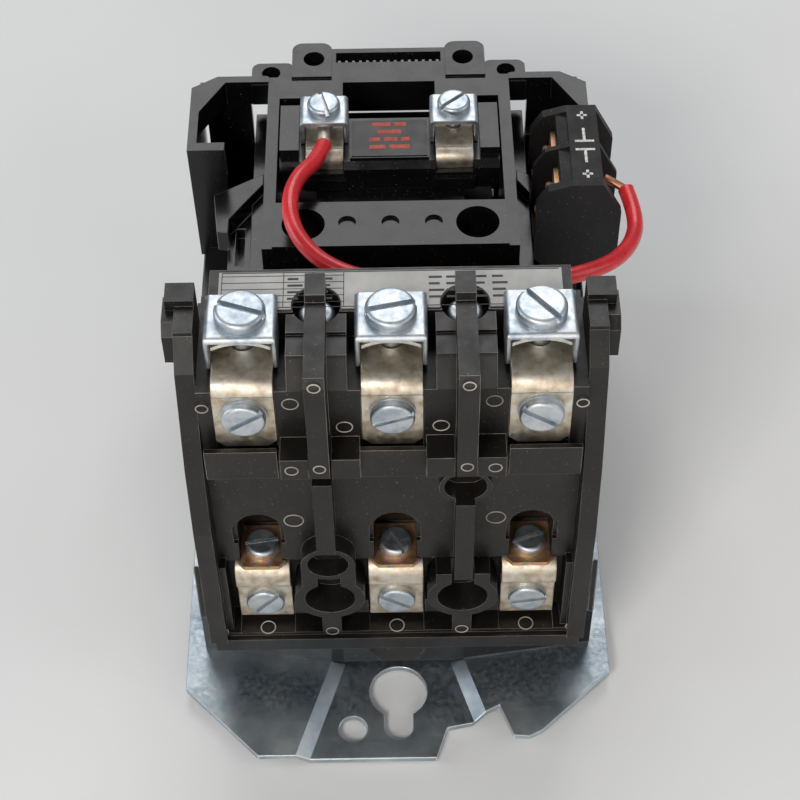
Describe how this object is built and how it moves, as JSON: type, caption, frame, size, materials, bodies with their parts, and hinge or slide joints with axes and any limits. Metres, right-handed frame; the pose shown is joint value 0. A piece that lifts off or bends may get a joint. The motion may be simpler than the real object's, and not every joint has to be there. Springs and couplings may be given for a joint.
{
  "type": "magnetic motor starter",
  "caption": "Open magnetic motor starter on a formed steel mounting plate: contact block with screw terminals, coil and magnet housing, auxiliary contact and a red jumper wire.",
  "frame": {"origin": "on the mounting plane, on the centre line, 56 mm from the keyhole's entry circle", "axes": "+Z out of the mounting plane towards the front, -Y towards the end that is uppermost on a wall, +X to the right in that view from the near end"},
  "size_m": [0.1006, 0.156, 0.111],
  "materials": {
    "zinc_plate": "zinc-plated sheet, mottled satin",
    "zinc_steel": "bright blue-white zinc",
    "yellow_zinc": "yellow iridescent chromate",
    "tin_plate": "warm bright tin plate over copper",
    "silver_alloy": "dull silver alloy",
    "spring_steel": "drawn spring steel",
    "laminated_steel": "black oxide laminations",
    "copper": "bare or enamelled copper",
    "black_gloss": "glossy thermoset moulding",
    "black_satin": "satin thermoset moulding with pale flash lines",
    "black_matte": "matt thermoplastic",
    "label_foil": "printed silver foil label",
    "coil_label": null,
    "red_pvc": "glossy PVC insulation"
  },
  "bodies": {
    "frame": {"aux_fixed_contacts": "silver_alloy", "aux_housing": "black_matte", "aux_terminal_screws": "yellow_zinc", "aux_terminals": "yellow_zinc", "base_moulding": "black_gloss", "base_plate": "zinc_plate", "block_screws": "zinc_steel", "coil_bobbin": "black_satin", "coil_case": "black_gloss", "coil_label": "coil_label", "coil_terminal_left": "tin_plate", "coil_terminal_right": "tin_plate", "coil_winding": "copper", "contact_block_base": "black_satin", "contact_block_front": "black_satin", "front_fixed_contacts": "silver_alloy", "front_strap_1": "tin_plate", "front_strap_2": "tin_plate", "front_strap_3": "tin_plate", "front_strap_screws": "zinc_steel", "housing_screws": "zinc_steel", "jumper_wire": "red_pvc", "magnet_housing": "black_gloss", "magnet_yoke": "laminated_steel", "plate_screws": "zinc_steel", "rating_label": "label_foil", "rear_fixed_contacts": "silver_alloy", "rear_inner_screws": "zinc_steel", "rear_outer_screws": "zinc_steel", "rear_plates": "yellow_zinc", "rear_strap_1": "tin_plate", "rear_strap_2": "tin_plate", "rear_strap_3": "tin_plate", "return_springs": "spring_steel", "shading_rings": "copper", "wire_bare_end": "copper", "wire_ferrule": "tin_plate"},
    "contact_carrier": {"crossbar": "black_satin", "carrier_pins": "spring_steel", "bridge_springs": "spring_steel", "contact_bridge_1": "copper", "contact_bridge_2": "copper", "contact_bridge_3": "copper", "armature": "laminated_steel", "armature_carrier": "black_gloss"},
    "aux_rod": {"aux_plunger": "black_satin", "aux_bridge": "copper"},
    "line_clamp_1": {"saddle_clamp_1": "zinc_steel", "pressure_plate_1": "yellow_zinc", "clamp_screw_1": "zinc_steel"},
    "line_clamp_2": {"saddle_clamp_2": "zinc_steel", "pressure_plate_2": "yellow_zinc", "clamp_screw_2": "zinc_steel"},
    "line_clamp_3": {"saddle_clamp_3": "zinc_steel", "pressure_plate_3": "yellow_zinc", "clamp_screw_3": "zinc_steel"},
    "coil_clamp_left_body": {"coil_clamp_left": "zinc_steel", "coil_clamp_screw_left": "zinc_steel"},
    "coil_clamp_right_body": {"coil_clamp_right": "zinc_steel", "coil_clamp_screw_right": "zinc_steel"}
  },
  "joints": [
    {"name": "armature_slide", "type": "slide", "parent": "frame", "child": "contact_carrier", "axis": [0, -1, 0], "range_m": [0, 0.0054], "stiffness_N_per_m": 400, "springref_m": -0.012},
    {"name": "aux_rod_slide", "type": "slide", "parent": "frame", "child": "aux_rod", "axis": [0, -1, 0], "range_m": [0, 0.0054]},
    {"name": "line_clamp_1_lift", "type": "slide", "parent": "frame", "child": "line_clamp_1", "axis": [0, 0, 1], "range_m": [0, 0.003]},
    {"name": "line_clamp_2_lift", "type": "slide", "parent": "frame", "child": "line_clamp_2", "axis": [0, 0, 1], "range_m": [0, 0.003]},
    {"name": "line_clamp_3_lift", "type": "slide", "parent": "frame", "child": "line_clamp_3", "axis": [0, 0, 1], "range_m": [0, 0.003]},
    {"name": "coil_clamp_left_lift", "type": "slide", "parent": "frame", "child": "coil_clamp_left_body", "axis": [0, 0, 1], "range_m": [0, 0.002]},
    {"name": "coil_clamp_right_lift", "type": "slide", "parent": "frame", "child": "coil_clamp_right_body", "axis": [0, 0, 1], "range_m": [0, 0.002]}
  ],
  "couplings": [
    {"joint": "aux_rod_slide", "follows": "armature_slide", "ratio": 1}
  ]
}
